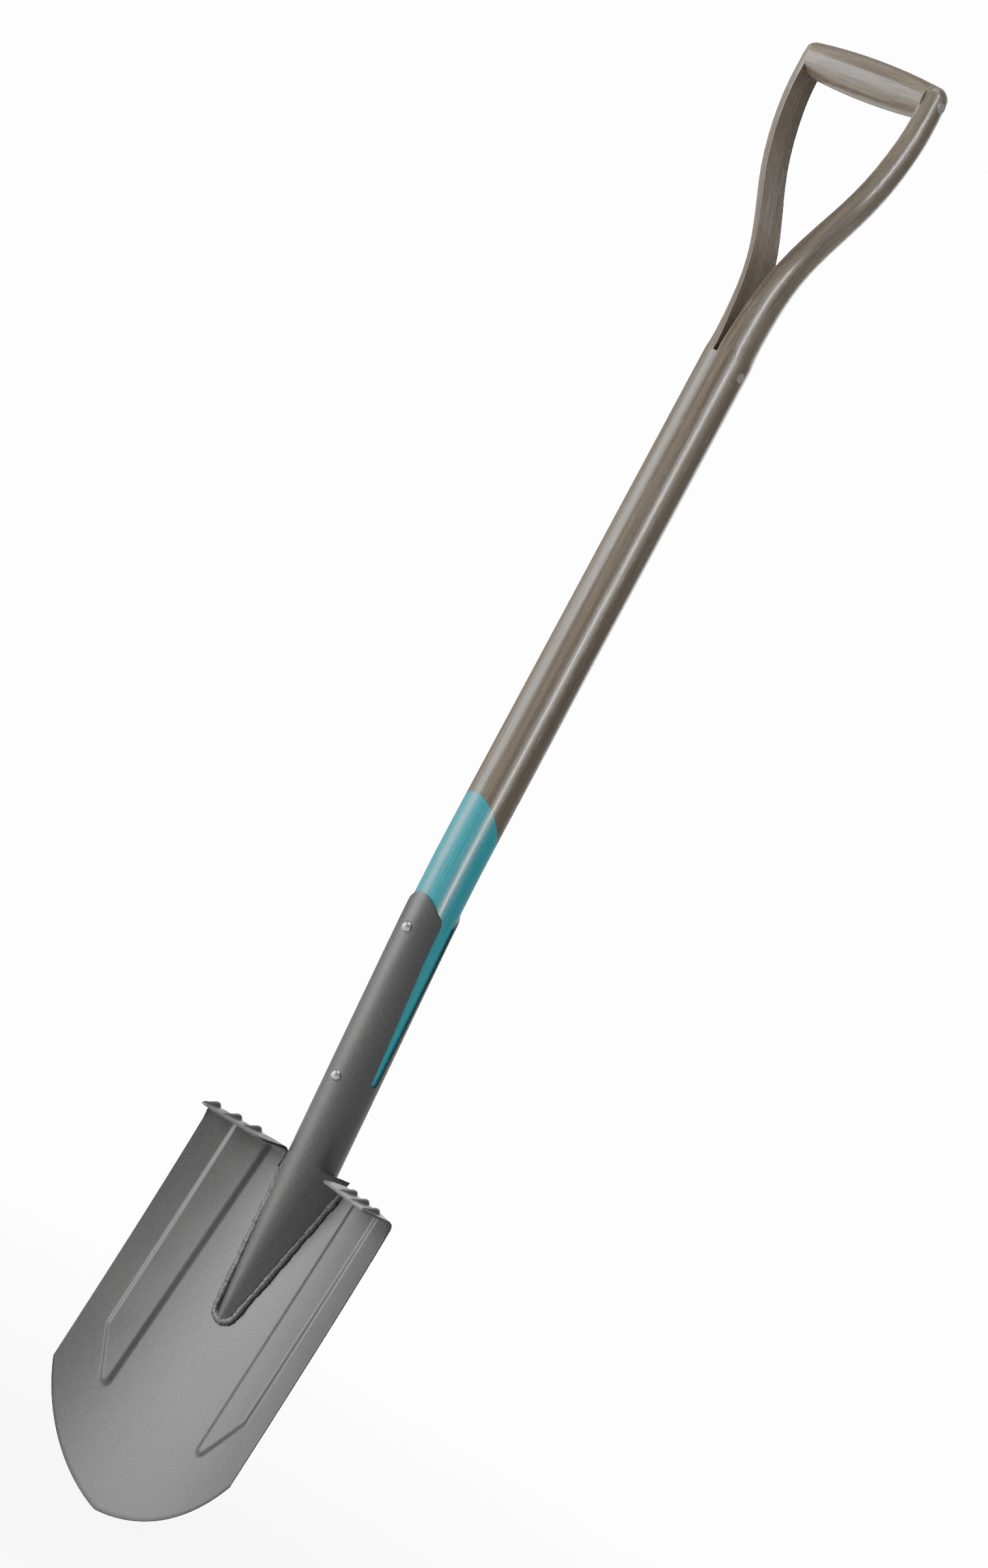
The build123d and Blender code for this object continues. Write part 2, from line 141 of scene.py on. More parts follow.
def front_y(x, z):
    """Front face of the plain dished sheet."""
    r = dish_radius(z)
    return centre_y(z) - r + math.sqrt(r * r - x * x)


def smooth(t):
    t = min(1.0, max(0.0, t))
    return t * t * (3 - 2 * t)


def smooth_max(a, b, k):
    """Larger of two heights, blended where they differ by less than k."""
    h = max(k - abs(a - b), 0.0) / k
    return max(a, b) + h * h * k * 0.25


def wobble(x, y, z, scale, seed=0.0):
    """Smooth repeatable noise; the seed picks a place in it."""
    return noise.noise(Vector((x / scale + seed, y / scale - seed, z / scale)))


def new_object(name, mesh, smooth_faces=True):
    obj = bpy.data.objects.new(name, mesh)
    scene.collection.objects.link(obj)
    if smooth_faces:
        for p in mesh.polygons:
            p.use_smooth = True
    return obj


def mesh_from(name, verts, faces):
    mesh = bpy.data.meshes.new(name)
    mesh.from_pydata([tuple(v) for v in verts], [], faces)
    mesh.validate()
    return mesh


def spread(a, b, step):
    """Even stations from a to b, about a step apart."""
    n = max(1, round(abs(b - a) / step))
    return [a + (b - a) * i / n for i in range(n + 1)]


# ---------------------------------------------------------------- blade
def edge_circle():
    """Centre of a lower edge's circle, through the tip, the bow and the corner."""
    chord = math.hypot(HALF, CORNER)
    bow_x = HALF / 2 + EDGE_BOW * CORNER / chord
    bow_z = CORNER / 2 - EDGE_BOW * HALF / chord
    bow, corner = bow_x**2 + bow_z**2, HALF**2 + CORNER**2
    d = 2 * (bow_x * CORNER - HALF * bow_z)
    return (bow * CORNER - corner * bow_z) / d, (corner * bow_x - bow * HALF) / d


EDGE_X, EDGE_Z = edge_circle()
EDGE_RADIUS = math.hypot(EDGE_X, EDGE_Z)
TIP_SLOPE = -EDGE_X / EDGE_Z
TIP_STRETCH = math.hypot(1, TIP_SLOPE)


def arc_low(x):
    """Lower edge of the blade in front view: two bowed edges and a rounded tip."""
    x = abs(x)
    if x < TIP_RADIUS * TIP_SLOPE / TIP_STRETCH:
        z = TIP_RADIUS * TIP_STRETCH - math.sqrt(TIP_RADIUS**2 - x * x)
    else:
        z = EDGE_Z - math.sqrt(max(0.0, EDGE_RADIUS**2 - (x - EDGE_X) ** 2))
    return max(z, TIP_HEIGHT)


def polygon_distance(x, z, pts):
    """Distance to a closed outline, positive inside."""
    best, inside = 1e9, False
    for i, (ax, az) in enumerate(pts):
        bx, bz = pts[(i + 1) % len(pts)]
        dx, dz = bx - ax, bz - az
        t = min(1.0, max(0.0, ((x - ax) * dx + (z - az) * dz) / (dx * dx + dz * dz)))
        best = min(best, math.hypot(x - ax - t * dx, z - az - t * dz))
        if (az > z) != (bz > z) and x < (bx - ax) * (z - az) / (bz - az) + ax:
            inside = not inside
    return best if inside else -best


def relief(x, z):
    """How far the ribs stand forward."""
    d = polygon_distance(abs(x), z, RIB_TOP) + RIB_RAMP
    return RIB_RISE * smooth(d / 4.2 + 0.35)


def cradle_y(x, z, back):
    """Half cone pressed back behind the socket's tail."""
    k = min(1.0, (z - CRADLE_FOOT) / CRADLE_LENGTH)
    if k < -0.08:
        return -1e9
    foot = centre_y(CRADLE_FOOT) - CRADLE_FOOT_RADIUS
    r = CRADLE_FOOT_RADIUS + (CRADLE_TOP_RADIUS - CRADLE_FOOT_RADIUS) * k + back
    c = foot + (axis_y(CRADLE_TOP) - foot) * k if z < CRADLE_TOP else axis_y(z)
    if abs(x) >= r:
        return c - (abs(x) - r) * 4
    return c + math.sqrt(r * r - x * x)


def face_y(x, z, back=0.0):
    """Front face of the sheet, or its rear face for back = SHEET."""
    r = dish_radius(z)
    y = centre_y(z) - r + math.sqrt((r + back) ** 2 - x * x) - relief(x, z)
    if abs(x) < CRADLE_REACH and z > CRADLE_FOOT - 7.0:
        y = smooth_max(y, cradle_y(x, z, back), 2.0)
    return y


def free_edge(x):
    """Where the tread ends, as a Y, from its inner end to the slanted outer one."""
    x = abs(x)
    out_x = HALF - SLANT
    front_in = centre_y(TREAD) - TREAD_DEPTH
    front_out = front_in - (out_x - INNER_X) * TREAD_TAPER
    y = front_in + (front_out - front_in) * (x - INNER_X) / (out_x - INNER_X)
    if x > out_x:
        y = front_out + (x - out_x) / SLANT * (front_y(HALF, TREAD) - 1.0 - front_out)
    corner = x - INNER_X
    if corner < TREAD_CORNER:
        y += TREAD_CORNER - math.sqrt(max(0.0, TREAD_CORNER**2 - (TREAD_CORNER - corner) ** 2))
    if abs(x - out_x) < TREAD_CORNER:
        y += 0.9 * (1 - abs(x - out_x) / TREAD_CORNER) ** 2
    return max(y, TREAD_FRONT)


def bent_profile(x, back):
    """One face of the sheet in side view: up the blade, round the bend and along the tread."""
    c, s = math.cos(RAKE_ANGLE), math.sin(RAKE_ANGLE)
    start = Vector((face_y(x, BEND_ZONE, back), BEND_ZONE))
    corner_z = TREAD - (SET_BACK - front_y(x, TREAD)) * RAKE - (SHEET - back) / c
    corner = Vector((face_y(x, corner_z, back), corner_z))
    up, out = (corner - start).normalized(), Vector((-c, -s))
    half_angle = math.acos(max(-1.0, min(1.0, (-up).dot(out)))) / 2
    r = BEND_RADIUS - SHEET + back
    run = r / math.tan(half_angle)
    a, b = corner - up * run, corner + out * run
    centre = corner + (out - up).normalized() * (r / math.sin(half_angle))
    va, vb = a - centre, b - centre
    pts = [start + (a - start) * i / 4 for i in range(4)]
    pts += [centre + va.slerp(vb, i / 12).normalized() * r for i in range(13)]
    beyond = free_edge(x) - 60.0
    last = pts[-1]
    pts.append(Vector((beyond, last.y - (last.x - beyond) * RAKE)))
    return pts


def tread_path(x, rows, back=0.0):
    """The bent profile up to the tread's free edge, as evenly spaced points."""
    end = free_edge(x)
    pts = bent_profile(x, back)
    cut = [pts[0]]
    for p in pts[1:]:
        if p.x < end:
            t = (cut[-1].x - end) / (cut[-1].x - p.x)
            cut.append(cut[-1] + (p - cut[-1]) * t)
            break
        cut.append(p)
    marks = [0.0]
    for p, q in zip(cut, cut[1:]):
        marks.append(marks[-1] + (q - p).length)
    out, k = [], 0
    for i in range(rows + 1):
        want = marks[-1] * i / rows
        while k < len(marks) - 2 and marks[k + 1] < want:
            k += 1
        step = marks[k + 1] - marks[k]
        t = (want - marks[k]) / step if step > 1e-9 else 0.0
        out.append(cut[k] + (cut[k + 1] - cut[k]) * t)
    return out


def cleat_height(x, y):
    """Drop-shaped bumps: a round fat end, then a ridge that thins towards the free edge."""
    end = CLEAT_LENGTH + 1.5
    for cleat_x in CLEATS:
        dx = abs(abs(x) - cleat_x)
        d = front_y(cleat_x, TREAD) + SHEET - CLEAT_SET - y
        if dx > CLEAT_REACH or d > end:
            continue
        if d < 0:
            r = math.hypot(d, dx)
            return CLEAT_RADIUS * smooth((CLEAT_RADIUS + 1.0 - r) / 3.6)
        wide = CLEAT_RADIUS + (CLEAT_TIP_RADIUS - CLEAT_RADIUS) * min(1.0, d / CLEAT_LENGTH)
        return wide * smooth((wide * 1.26 - dx) / (wide * 0.92)) * smooth((end - d) / 2.5)
    return 0.0


def sheet_face(xs, back):
    """All points of one face of the blade sheet, with its quads."""
    rows_main, rows_tread, rows_rim = 190, 36, 8
    verts, quads = [], []
    stride = rows_main + 1
    for x in xs:
        low = arc_low(x)
        for j in range(stride):
            z = low + (BEND_ZONE - low) * j / rows_main
            verts.append(at(x, face_y(x, z, back), z))
    strips = [[list(range(i * stride, (i + 1) * stride)) for i in range(len(xs))]]
    for side in (-1, 1):
        strip = []
        for i, x in enumerate(xs):
            if side * x < INNER_X - 1e-6:
                continue
            ids = [i * stride + rows_main]
            for k, p in enumerate(tread_path(x, rows_tread, back)[1:], 1):
                lift = cleat_height(x, p.x) if k > 6 else 0.0
                ids.append(len(verts))
                verts.append(at(x, p.x, p.y + lift * (1.0 if back else 0.8)))
            strip.append(ids)
        strips.append(strip)
    rim, top = [], TREAD - RIM_DROP
    for i, x in enumerate(xs):
        if abs(x) > INNER_X - 0.5:
            continue
        ids = [i * stride + rows_main]
        for k in range(1, rows_rim + 1):
            z = BEND_ZONE + (top - BEND_ZONE) * k / rows_rim
            ids.append(len(verts))
            verts.append(at(x, face_y(x, z, back), z))
        rim.append(ids)
    strips.append(rim)
    for strip in strips:
        for a, b in zip(strip, strip[1:]):
            for k in range(len(a) - 1):
                quads.append((a[k], b[k], b[k + 1], a[k + 1]))
    return verts, quads


def mark_ground_edge(mesh):
    """Attribute that is 1 along the lower edge, where the sheet is ground."""
    ground = mesh.attributes.new("ground", "FLOAT", "POINT").data
    for v, g in zip(mesh.vertices, ground):
        x, z = v.co.x / MM, (v.co.z - SHIFT_Z) / MM
        if z < CORNER + 2:
            g.value = smooth((4.2 - (z - arc_low(x))) / 2.6)


def build_blade():
    """Two faces of the sheet, joined along their outline."""
    outer = spread(INNER_X, HALF - 0.01, 0.9)
    xs = [-x for x in reversed(outer)] + spread(-INNER_X, INNER_X, 0.9)[1:-1] + outer
    front, quads = sheet_face(xs, 0.0)
    rear, _ = sheet_face(xs, SHEET)
    n = len(front)
    faces = quads + [tuple(i + n for i in reversed(q)) for q in quads]
    edges = dict.fromkeys((a, b) for q in quads for a, b in zip(q, q[1:] + q[:1]))
    for a, b in edges:
        if (b, a) not in edges:
            faces.append((b, a, a + n, b + n))
    mesh = mesh_from("blade_sheet", front + rear, faces)
    obj = new_object("blade_sheet", mesh)
    mark_ground_edge(mesh)
    bevel = obj.modifiers.new("edges", "BEVEL")
    bevel.width = 0.5 * MM
    bevel.segments = 2
    bevel.limit_method = "ANGLE"
    bevel.angle_limit = math.radians(50)
    return obj


# ---------------------------------------------------------------- weld beads
def frog_half(z):
    """Half the frog's width where it meets the blade."""
    share = (z - FROG_FOOT) / (FROG_TOP - FROG_FOOT)
    return FROG_TOE_RADIUS + (FROG_TOP_HALF - FROG_TOE_RADIUS) * share


def bead(name, path, radius, seed):
    """Run of weld metal: a round bead with ripples and uneven width, laid along a path."""
    verts, faces, ring = [], [], 14
    count = len(path)
    travelled = 0.0
    for i, (p, n) in enumerate(path):
        a = path[max(0, i - 1)][0]
        b = path[min(count - 1, i + 1)][0]
        if i:
            travelled += (p - path[i - 1][0]).length
        tangent = (b - a).normalized()
        side = tangent.cross(n).normalized()
        up = side.cross(tangent).normalized()
        ripple = 0.16 * math.sin(travelled * 2 * math.pi / 3.1 + 2 * wobble(travelled, 0, 0, 9, seed))
        swell = 1 + 0.30 * wobble(travelled, 0, 0, 7.0, seed) + 0.14 * wobble(travelled, 0, 0, 2.4, seed)
        end = min(1.0, 0.35 + min(i, count - 1 - i) / 4)
        for k in range(ring):
            ang = 2 * math.pi * k / ring
            r = radius * (swell * end + ripple * 0.5)
            r += 0.25 * wobble(p.x + 3 * math.cos(ang), p.y + 3 * math.sin(ang), p.z, 2.2, seed)
            v = p + side * math.cos(ang) * r * 1.15 + up * math.sin(ang) * r * 0.85
            verts.append(at(*v))
    for i in range(count - 1):
        for k in range(ring):
            a, b = i * ring + k, i * ring + (k + 1) % ring
            faces.append((a, b, b + ring, a + ring))
    faces.append(tuple(range(ring))[::-1])
    faces.append(tuple((count - 1) * ring + k for k in range(ring)))
    return new_object(name, mesh_from(name, verts, faces))


def front_weld_path():
    """Down one side of the frog, round its toe and up the other side."""
    toe = FROG_TOE_RADIUS - WELD_SINK
    pts = [(-(frog_half(z) - WELD_SINK), z) for z in spread(WELD_TOP, FROG_FOOT, 1.0)]
    for k in range(1, 36):
        ang = math.pi + math.pi * k / 36
        pts.append((toe * math.cos(ang), FROG_FOOT + toe * math.sin(ang)))
    pts += [(frog_half(z) - WELD_SINK, z) for z in spread(FROG_FOOT, WELD_TOP, 1.0)]
    out = []
    for i, (x, z) in enumerate(pts):
        x += 0.5 * wobble(i, 0, 0, 6.0, 4.2)
        z += 0.5 * wobble(i, 0, 0, 5.0, 9.1)
        out.append((Vector((x, front_y(x, z) - WELD_SINK, z)), Vector((0, -1, 0.16))))
    return out


# ---------------------------------------------------------------- materials
class Nodes:
    """Short names for the few node kinds that the finishes share."""

    def __init__(self, name):
        self.mat = bpy.data.materials.new(name)
        self.mat.use_nodes = True
        self.tree = self.mat.node_tree
        self.tree.nodes.clear()
        self.out = self.tree.nodes.new("ShaderNodeOutputMaterial")
        self.bsdf = self.tree.nodes.new("ShaderNodeBsdfPrincipled")
        self.link(self.bsdf.outputs[0], self.out.inputs["Surface"])

    def link(self, a, b):
        self.tree.links.new(a, b)

    def put(self, socket, value):
        if hasattr(value, "is_output"):
            self.link(value, socket)
        else:
            socket.default_value = value

    def coords(self):
        return self.tree.nodes.new("ShaderNodeTexCoord").outputs["Object"]

    def attribute(self, name, output="Vector"):
        n = self.tree.nodes.new("ShaderNodeAttribute")
        n.attribute_name = name
        return n.outputs[output]

    def scaled(self, vector, scale, move=(0, 0, 0)):
        n = self.tree.nodes.new("ShaderNodeMapping")
        n.inputs["Scale"].default_value = scale
        n.inputs["Location"].default_value = move
        self.link(vector, n.inputs["Vector"])
        return n.outputs[0]

    def noise(self, vector, scale, detail=4.0, rough=0.55, distortion=0.0):
        n = self.tree.nodes.new("ShaderNodeTexNoise")
        n.inputs["Scale"].default_value = scale
        n.inputs["Detail"].default_value = detail
        n.inputs["Roughness"].default_value = rough
        n.inputs["Distortion"].default_value = distortion
        self.link(vector, n.inputs["Vector"])
        return n.outputs["Fac"]

    def wave(self, vector, scale, distortion, detail=2.0):
        n = self.tree.nodes.new("ShaderNodeTexWave")
        n.bands_direction = "X"
        n.inputs["Scale"].default_value = scale
        n.inputs["Distortion"].default_value = distortion
        n.inputs["Detail"].default_value = detail
        n.inputs["Detail Scale"].default_value = 1.2
        self.link(vector, n.inputs["Vector"])
        return n.outputs["Fac"]

    def ramp(self, fac, stops):
        n = self.tree.nodes.new("ShaderNodeValToRGB")
        el = n.color_ramp.elements
        while len(el) < len(stops):
            el.new(0.5)
        for e, (pos, value) in zip(el, stops):
            e.position = pos
            e.color = (*value, 1) if isinstance(value, tuple) else (value, value, value, 1)
        self.link(fac, n.inputs[0])
        return n.outputs[0]

    def math(self, kind, a, b=0.0, clamp=False):
        n = self.tree.nodes.new("ShaderNodeMath")
        n.operation = kind
        n.use_clamp = clamp
        self.put(n.inputs[0], a)
        self.put(n.inputs[1], b)
        return n.outputs[0]

    def mix(self, fac, a, b):
        n = self.tree.nodes.new("ShaderNodeMix")
        n.data_type = "RGBA"
        self.put(n.inputs[0], fac)
        for socket, value in ((n.inputs[6], a), (n.inputs[7], b)):
            self.put(socket, (*value, 1) if isinstance(value, tuple) else value)
        return n.outputs[2]

    def split(self, vector):
        n = self.tree.nodes.new("ShaderNodeSeparateXYZ")
        self.link(vector, n.inputs[0])
        return n.outputs

    def bump(self, height, distance, strength=1.0, under=None):
        n = self.tree.nodes.new("ShaderNodeBump")
        n.inputs["Distance"].default_value = distance
        n.inputs["Strength"].default_value = strength
        self.link(height, n.inputs["Height"])
        if under is not None:
            self.link(under, n.inputs["Normal"])
        return n.outputs[0]

    def set(self, **values):
        for key, value in values.items():
            self.put(self.bsdf.inputs[key.replace("_", " ")], value)


def grey(value):
    return (value, value, value)


def srgb(r, g, b):
    """Linear colour from 0 to 255 values as a screen shows them."""

    def lin(c):
        c /= 255
        return c / 12.92 if c <= 0.04045 else ((c + 0.055) / 1.055) ** 2.4

    return lin(r), lin(g), lin(b)


def coated_steel(name, lumpy=0.0, dark=1.0):
    """Grey coating with a fine sparkle, faint streaks and a darker ground edge."""
    m = Nodes(name)
    p = m.coords()
    fine = m.noise(p, 2600.0, 2.0, 0.6)
    cloud = m.noise(p, 9.0, 5.0, 0.6, 0.4)
    streak = m.noise(m.scaled(p, (90, 90, 14)), 1.0, 5.0, 0.65)
    light = (0.094 * dark, 0.094 * dark, 0.093 * dark)
    base = m.mix(m.ramp(cloud, [(0.3, 0.0), (0.7, 1.0)]), grey(0.072 * dark), light)
    base = m.mix(m.ramp(fine, [(0.42, 0.0), (0.62, 0.55)]), base, grey(0.17 * dark))
    base = m.mix(m.ramp(streak, [(0.60, 0.0), (0.80, 0.30)]), base, grey(0.05))
    patchy = m.ramp(streak, [(0.2, 0.45), (0.7, 0.85)])
    edge = m.math("MULTIPLY", m.attribute("ground", "Fac"), patchy)
    base = m.mix(edge, base, grey(0.040))
    rough = m.ramp(cloud, [(0.25, 0.36), (0.75, 0.44)])
    under = None
    if lumpy:
        under = m.bump(m.noise(p, 420.0, 3.0, 0.6), 0.0007, lumpy)
    normal = m.bump(fine, 0.00005, 0.55, under)
    m.set(Base_Color=base, Metallic=0.45, Roughness=rough, Normal=normal)
    m.bsdf.inputs["Specular IOR Level"].default_value = 0.45
    return m.mat


def bright_steel(name):
    """Plain rivet steel with fine scratches."""
    m = Nodes(name)
    p = m.coords()
    scratch = m.noise(m.scaled(p, (900, 3000, 900)), 1.0, 4.0, 0.6)
    tone = m.noise(p, 260.0, 4.0, 0.6)
    base = m.mix(m.ramp(tone, [(0.35, 0.0), (0.7, 1.0)]), (0.50, 0.50, 0.49), (0.70, 0.70, 0.69))
    rough = m.ramp(scratch, [(0.3, 0.20), (0.7, 0.36)])
    m.set(Base_Color=base, Metallic=1.0, Roughness=rough, Normal=m.bump(scratch, 0.00002, 0.4))
    return m.mat


PAINT_LINE = 0.5772           # metres up the front of the shaft
PAINT_FRONT = -0.0185         # the shaft's front, from its axis


def paint_mask(m, grain):
    """1 below the paint's upper end, which slopes up towards the front and is a little uneven."""
    x, y, z = m.split(m.coords())
    line = m.math("ADD", z, m.math("SUBTRACT", y, SHIFT_Y + PAINT_FRONT))
    uneven = m.math("MULTIPLY", m.noise(m.scaled(grain, (300, 300, 60)), 1.0, 2.0), 0.0012)
    line = m.math("ADD", line, uneven)
    below = m.math("SUBTRACT", PAINT_LINE + SHIFT_Z, line)
    return m.ramp(m.math("MULTIPLY", below, 1400.0, True), [(0.0, 0.0), (1.0, 1.0)])


def ash_wood(name, painted):
    """Brown stained ash under clear lacquer; the shaft's lower end is painted blue-green."""
    m = Nodes(name)
    p = m.attribute("grain")
    broad = m.noise(m.scaled(p, (28, 28, 3.0)), 1.0, 3.0, 0.5)
    fibre = m.noise(m.scaled(p, (620, 620, 9.0)), 1.0, 6.0, 0.62, 0.15)
    rings = m.wave(m.scaled(p, (1, 0.8, 0.035)), 42.0, 5.0, 3.0)
    pores = m.noise(m.scaled(p, (1500, 1500, 34)), 1.0, 3.0, 0.55)
    flecks = m.noise(m.scaled(p, (900, 900, 52), (3, 5, 7)), 1.0, 2.0, 0.5)
    patches = m.ramp(broad, [(0.3, 0.0), (0.7, 1.0)])
    pore_mask = m.ramp(pores, [(0.58, 0.0), (0.68, 1.0)])
    fleck_mask = m.ramp(flecks, [(0.66, 0.0), (0.74, 1.0)])
    tone = m.mix(patches, srgb(107, 98, 84), srgb(130, 120, 104))
    tone = m.mix(m.ramp(rings, [(0.25, 0.0), (0.9, 0.55)]), tone, srgb(84, 70, 58))
    tone = m.mix(m.ramp(fibre, [(0.30, 0.55), (0.50, 0.0)]), tone, srgb(70, 58, 49))
    tone = m.mix(m.ramp(fibre, [(0.52, 0.0), (0.78, 0.55)]), tone, srgb(150, 138, 124))
    tone = m.mix(m.math("MULTIPLY", pore_mask, 0.55), tone, srgb(56, 46, 38))
    tone = m.mix(m.math("MULTIPLY", fleck_mask, 0.40), tone, srgb(168, 160, 150))
    if painted:
        paint = m.mix(patches, (0.003, 0.300, 0.370), (0.005, 0.370, 0.440))
        paint = m.mix(m.ramp(fibre, [(0.34, 0.40), (0.52, 0.0)]), paint, (0.002, 0.140, 0.180))
        paint = m.mix(m.math("MULTIPLY", pore_mask, 0.30), paint, (0.001, 0.095, 0.130))
        paint = m.mix(m.ramp(fibre, [(0.60, 0.0), (0.80, 0.35)]), paint, (0.030, 0.420, 0.480))
        tone = m.mix(paint_mask(m, p), tone, paint)
    rough = m.ramp(fibre, [(0.3, 0.42), (0.7, 0.30)])
    closed = m.ramp(pores, [(0.55, 1.0), (0.72, 0.0)])
    grain = m.mix(0.5, m.ramp(fibre, [(0.2, 0.0), (0.8, 1.0)]), closed)
    m.set(Base_Color=tone, Roughness=rough, Normal=m.bump(grain, 0.00016, 0.55))
    m.set(Coat_Normal=m.bump(grain, 0.00007, 0.4))
    m.bsdf.inputs["Specular IOR Level"].default_value = 0.4
    m.bsdf.inputs["Coat Weight"].default_value = 0.36
    m.bsdf.inputs["Coat Roughness"].default_value = 0.16
    m.bsdf.inputs["Coat IOR"].default_value = 1.5
    return m.mat


STEEL = coated_steel("coated_steel_finish")
WELD = coated_steel("weld_finish", 0.9, 0.9)
RIVET = bright_steel("rivet_finish")
WOOD = ash_wood("ash_shaft_finish", True)
GRIP_WOOD = ash_wood("ash_grip_finish", False)


def dress(obj, mat):
    obj.data.materials.clear()
    obj.data.materials.append(mat)
    for p in obj.data.polygons:
        p.material_index = 0


def own_copy(node, name):
    """Copy of a CAD node's mesh that can carry the wood's grain directions."""
    obj = bpy.data.objects.new(name, nodes[node].data.copy())
    scene.collection.objects.link(obj)
    return obj


# ---------------------------------------------------------------- wood
def arm_offset(z):
    """How far an arm's inner face has moved out at a height, in millimetres."""
    share = min(1.0, max(0.0, (z - ARM_FOOT) / ARM_HEIGHT))
    for (a, ra), (b, rb) in zip(ARM_STATIONS, ARM_STATIONS[1:]):
        if share <= b:
            return ARM_SPREAD * (ra + (rb - ra) * (share - a) / (b - a))
    return ARM_SPREAD


def grain_along_shaft(obj):
    """Coordinates in which the fibres run up the shaft and along both arms."""
    data = obj.data.attributes.new("grain", "FLOAT_VECTOR", "POINT").data
    for v, d in zip(obj.data.vertices, data):
        z = (v.co.z - SHIFT_Z) / MM
        side = 1 if v.co.x > 0 else -1
        out, lean = side * arm_offset(z) * MM, axis_y(z) * MM
        d.vector = (v.co.x - out, v.co.y - SHIFT_Y - lean, v.co.z)


def grain_along_grip(obj):
    """Coordinates in which the fibres run along the grip."""
    data = obj.data.attributes.new("grain", "FLOAT_VECTOR", "POINT").data
    low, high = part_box("grip")
    for v, d in zip(obj.data.vertices, data):
        d.vector = (v.co.y + 0.31, v.co.z - (low.z + high.z) / 2, v.co.x + 0.17)


def round_grip_ends(obj):
    """Ease the corners where the arms' tops close over the grip's ends."""
    low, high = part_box("grip_rivet")
    cy, cz = (low.y + high.y) / 2, (low.z + high.z) / 2
    for v in obj.data.vertices:
        dx = GRIP_HALF - abs(v.co.x) / MM
        dy, dz = v.co.y - cy, v.co.z - cz
        if dz < 0 or dx > GRIP_ROUNDING:
            continue
        t = max(0.0, min(1.0, 1 - dx / GRIP_ROUNDING))
        growth = (GRIP_RADIUS - GRIP_END_RADIUS) * math.sqrt(max(0.0, 1 - t * t))
        limit = (GRIP_END_RADIUS + growth) * MM
        r = math.hypot(dy, dz)
        if r > limit:
            v.co.y, v.co.z = cy + dy * limit / r, cz + dz * limit / r


# ---------------------------------------------------------------- pieces
blade = build_blade()
dress(blade, STEEL)
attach(blade, "root")
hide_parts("blade")

weld = bead("frog_weld_bead", front_weld_path(), WELD_RADIUS, 3.7)
dress(weld, WELD)
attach(weld, "root")
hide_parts("front_weld")

shaft = own_copy("handle", "ash_shaft")
grain_along_shaft(shaft)
round_grip_ends(shaft)
dress(shaft, WOOD)
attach(shaft, "root")
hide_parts("handle")

grip = own_copy("grip", "ash_grip")
grain_along_grip(grip)
dress(grip, GRIP_WOOD)
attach(grip, "root")
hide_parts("grip")

dress(nodes["socket"], STEEL)
dress(nodes["rear_weld"], WELD)
for name in ("grip_rivet", "split_rivet", "upper_strap_rivet", "lower_strap_rivet"):
    dress(nodes[name], RIVET)


# ---------------------------------------------------------------- floor, light and camera
BACKDROP = 14.0               # brightness that the camera sees as white
FLOOR_RINGS = (0.2, 0.6, 1.2, 2.5, 5.0, 12.0, 40.0)
CAMERA_ROLL = math.radians(28.2)


def floor_finish():
    """Pale matt floor that fades into the white backdrop away from the spade."""
    m = Nodes("pale_floor")
    p = m.coords()
    tone = m.mix(m.noise(p, 60.0), grey(0.82), grey(0.86))
    m.set(Base_Color=tone, Roughness=0.8)
    glow = m.tree.nodes.new("ShaderNodeEmission")
    glow.inputs["Strength"].default_value = BACKDROP
    blend = m.tree.nodes.new("ShaderNodeMixShader")
    x, y, z = m.split(p)
    far = m.math("SQRT", m.math("ADD", m.math("MULTIPLY", x, x), m.math("MULTIPLY", y, y)))
    fade = m.ramp(m.math("DIVIDE", far, 1.2, True), [(0.0, 0.55), (1.0, 1.0)])
    seen = m.tree.nodes.new("ShaderNodeLightPath").outputs["Is Camera Ray"]
    m.link(m.math("MULTIPLY", fade, seen), blend.inputs[0])
    m.link(m.bsdf.outputs[0], blend.inputs[1])
    m.link(glow.outputs[0], blend.inputs[2])
    m.link(blend.outputs[0], m.out.inputs["Surface"])
    return m.mat


def studio_floor():
    verts, faces, n = [(0, 0, 0)], [], 96
    for r in FLOOR_RINGS:
        for k in range(n):
            a = 2 * math.pi * k / n
            verts.append((r * math.cos(a), r * math.sin(a), 0))
    for k in range(n):
        faces.append((0, 1 + k, 1 + (k + 1) % n))
    for ring in range(len(FLOOR_RINGS) - 1):
        for k in range(n):
            a, b = 1 + ring * n + k, 1 + ring * n + (k + 1) % n
            faces.append((a, a + n, b + n, b))
    floor = new_object("studio_floor", mesh_from("studio_floor", verts, faces), False)
    floor.location.z = -0.0004
    dress(floor, floor_finish())


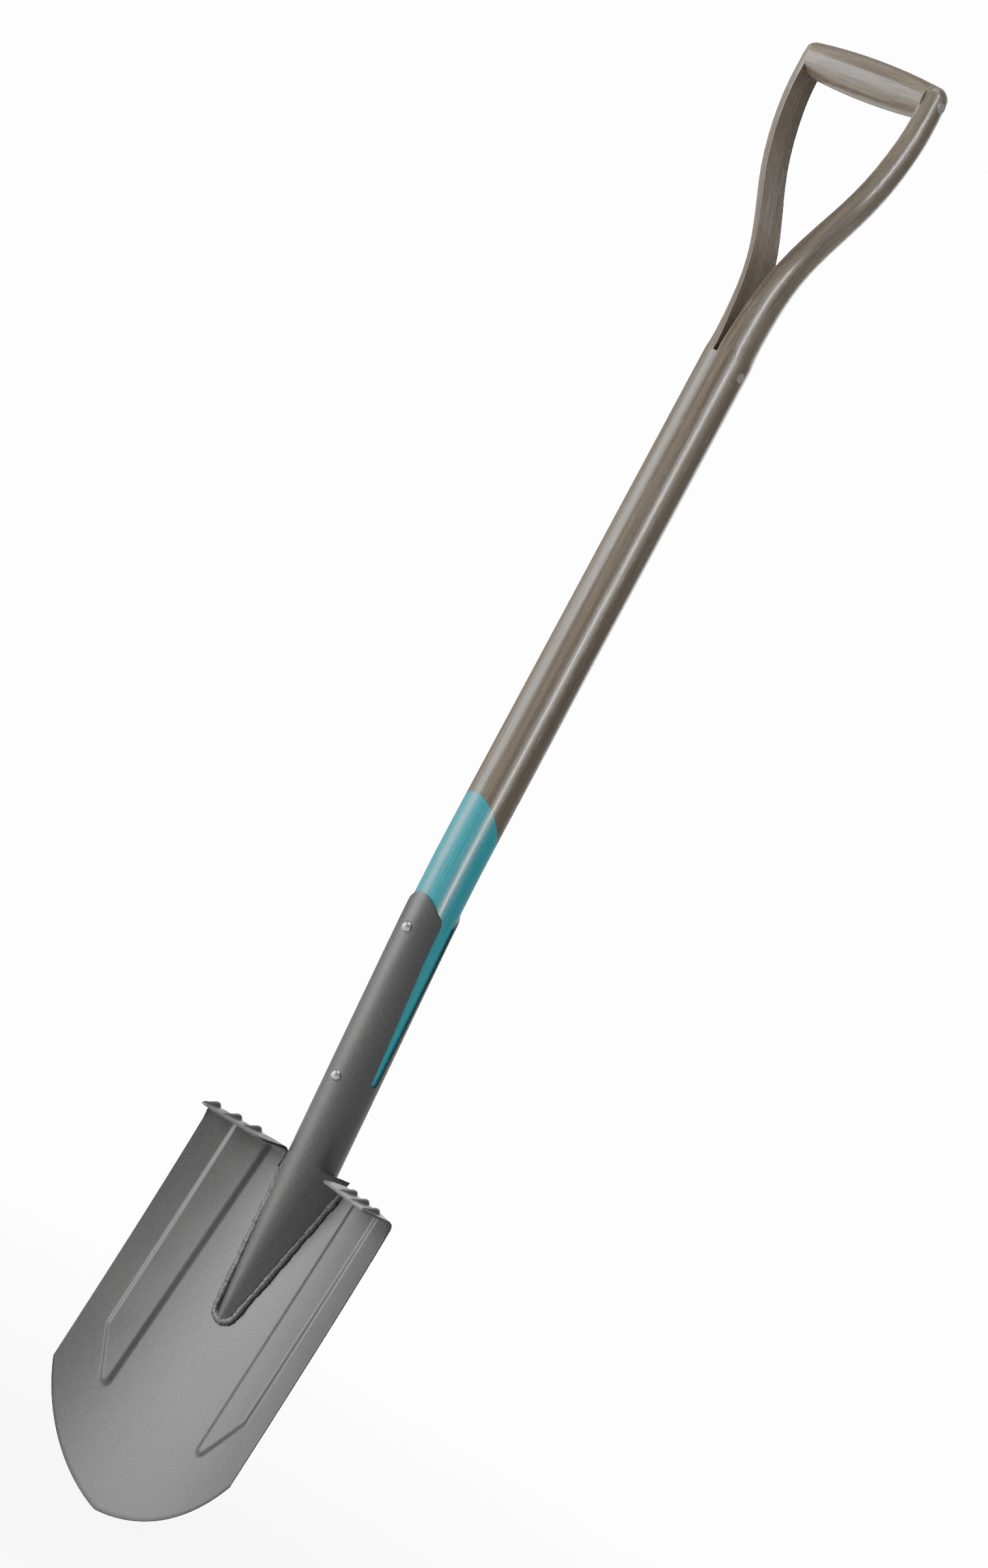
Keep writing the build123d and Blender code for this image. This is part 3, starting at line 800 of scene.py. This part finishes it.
def area_light(name, location, target, width, height, power, colour=(1, 1, 1)):
    data = bpy.data.lights.new(name, "AREA")
    data.shape = "RECTANGLE"
    data.size, data.size_y = width, height
    data.energy = power
    data.color = colour
    obj = bpy.data.objects.new(name, data)
    obj.location = location
    obj.rotation_euler = (Vector(target) - Vector(location)).to_track_quat("-Z", "Y").to_euler()
    scene.collection.objects.link(obj)
    return obj


def studio_world():
    """Soft even light, with a white backdrop behind the spade."""
    world = bpy.data.worlds.new("studio")
    world.use_nodes = True
    t = world.node_tree
    t.nodes.clear()
    out = t.nodes.new("ShaderNodeOutputWorld")
    blend = t.nodes.new("ShaderNodeMixShader")
    seen = t.nodes.new("ShaderNodeLightPath").outputs["Is Camera Ray"]
    t.links.new(seen, blend.inputs[0])
    for place, strength in enumerate((0.33, BACKDROP), 1):
        background = t.nodes.new("ShaderNodeBackground")
        background.inputs[0].default_value = (1, 1, 1, 1)
        background.inputs[1].default_value = strength
        t.links.new(background.outputs[0], blend.inputs[place])
    t.links.new(blend.outputs[0], out.inputs[0])
    scene.world = world


def studio_light():
    """Large soft panels, and a narrow one that only draws the lacquer's long highlight."""
    area_light("key", (-1.9, -2.1, 1.1), (0, 0, 0.45), 2.0, 2.4, 105)
    area_light("top", (0.3, -0.6, 2.9), (0, 0, 0.3), 1.6, 1.6, 30)
    area_light("rear", (-0.9, 2.8, 1.6), (0, 0, 0.5), 2.0, 2.0, 80)
    warm = (1.0, 0.96, 0.90)
    streak = area_light("streak", (2.35, -1.02, 0.75), (0, 0, 0.75), 0.20, 2.6, 135, warm)
    streak.visible_diffuse = False
    wood = bpy.data.collections.new("wood_pieces")
    wood.objects.link(shaft)
    wood.objects.link(grip)
    streak.light_linking.receiver_collection = wood


def photo_camera():
    data = bpy.data.cameras.new("camera")
    data.sensor_width = 36.0
    data.lens = 96.578
    data.clip_start, data.clip_end = 0.05, 200.0
    camera = bpy.data.objects.new("camera", data)
    place, target = at(1855, -2332, 658), at(-3, -2.5, 587)
    view = (target - place).to_track_quat("-Z", "Y")
    camera.rotation_mode = "QUATERNION"
    camera.rotation_quaternion = view @ Quaternion((0, 0, 1), CAMERA_ROLL)
    camera.location = place
    scene.collection.objects.link(camera)
    scene.camera = camera


studio_floor()
studio_world()
studio_light()
photo_camera()
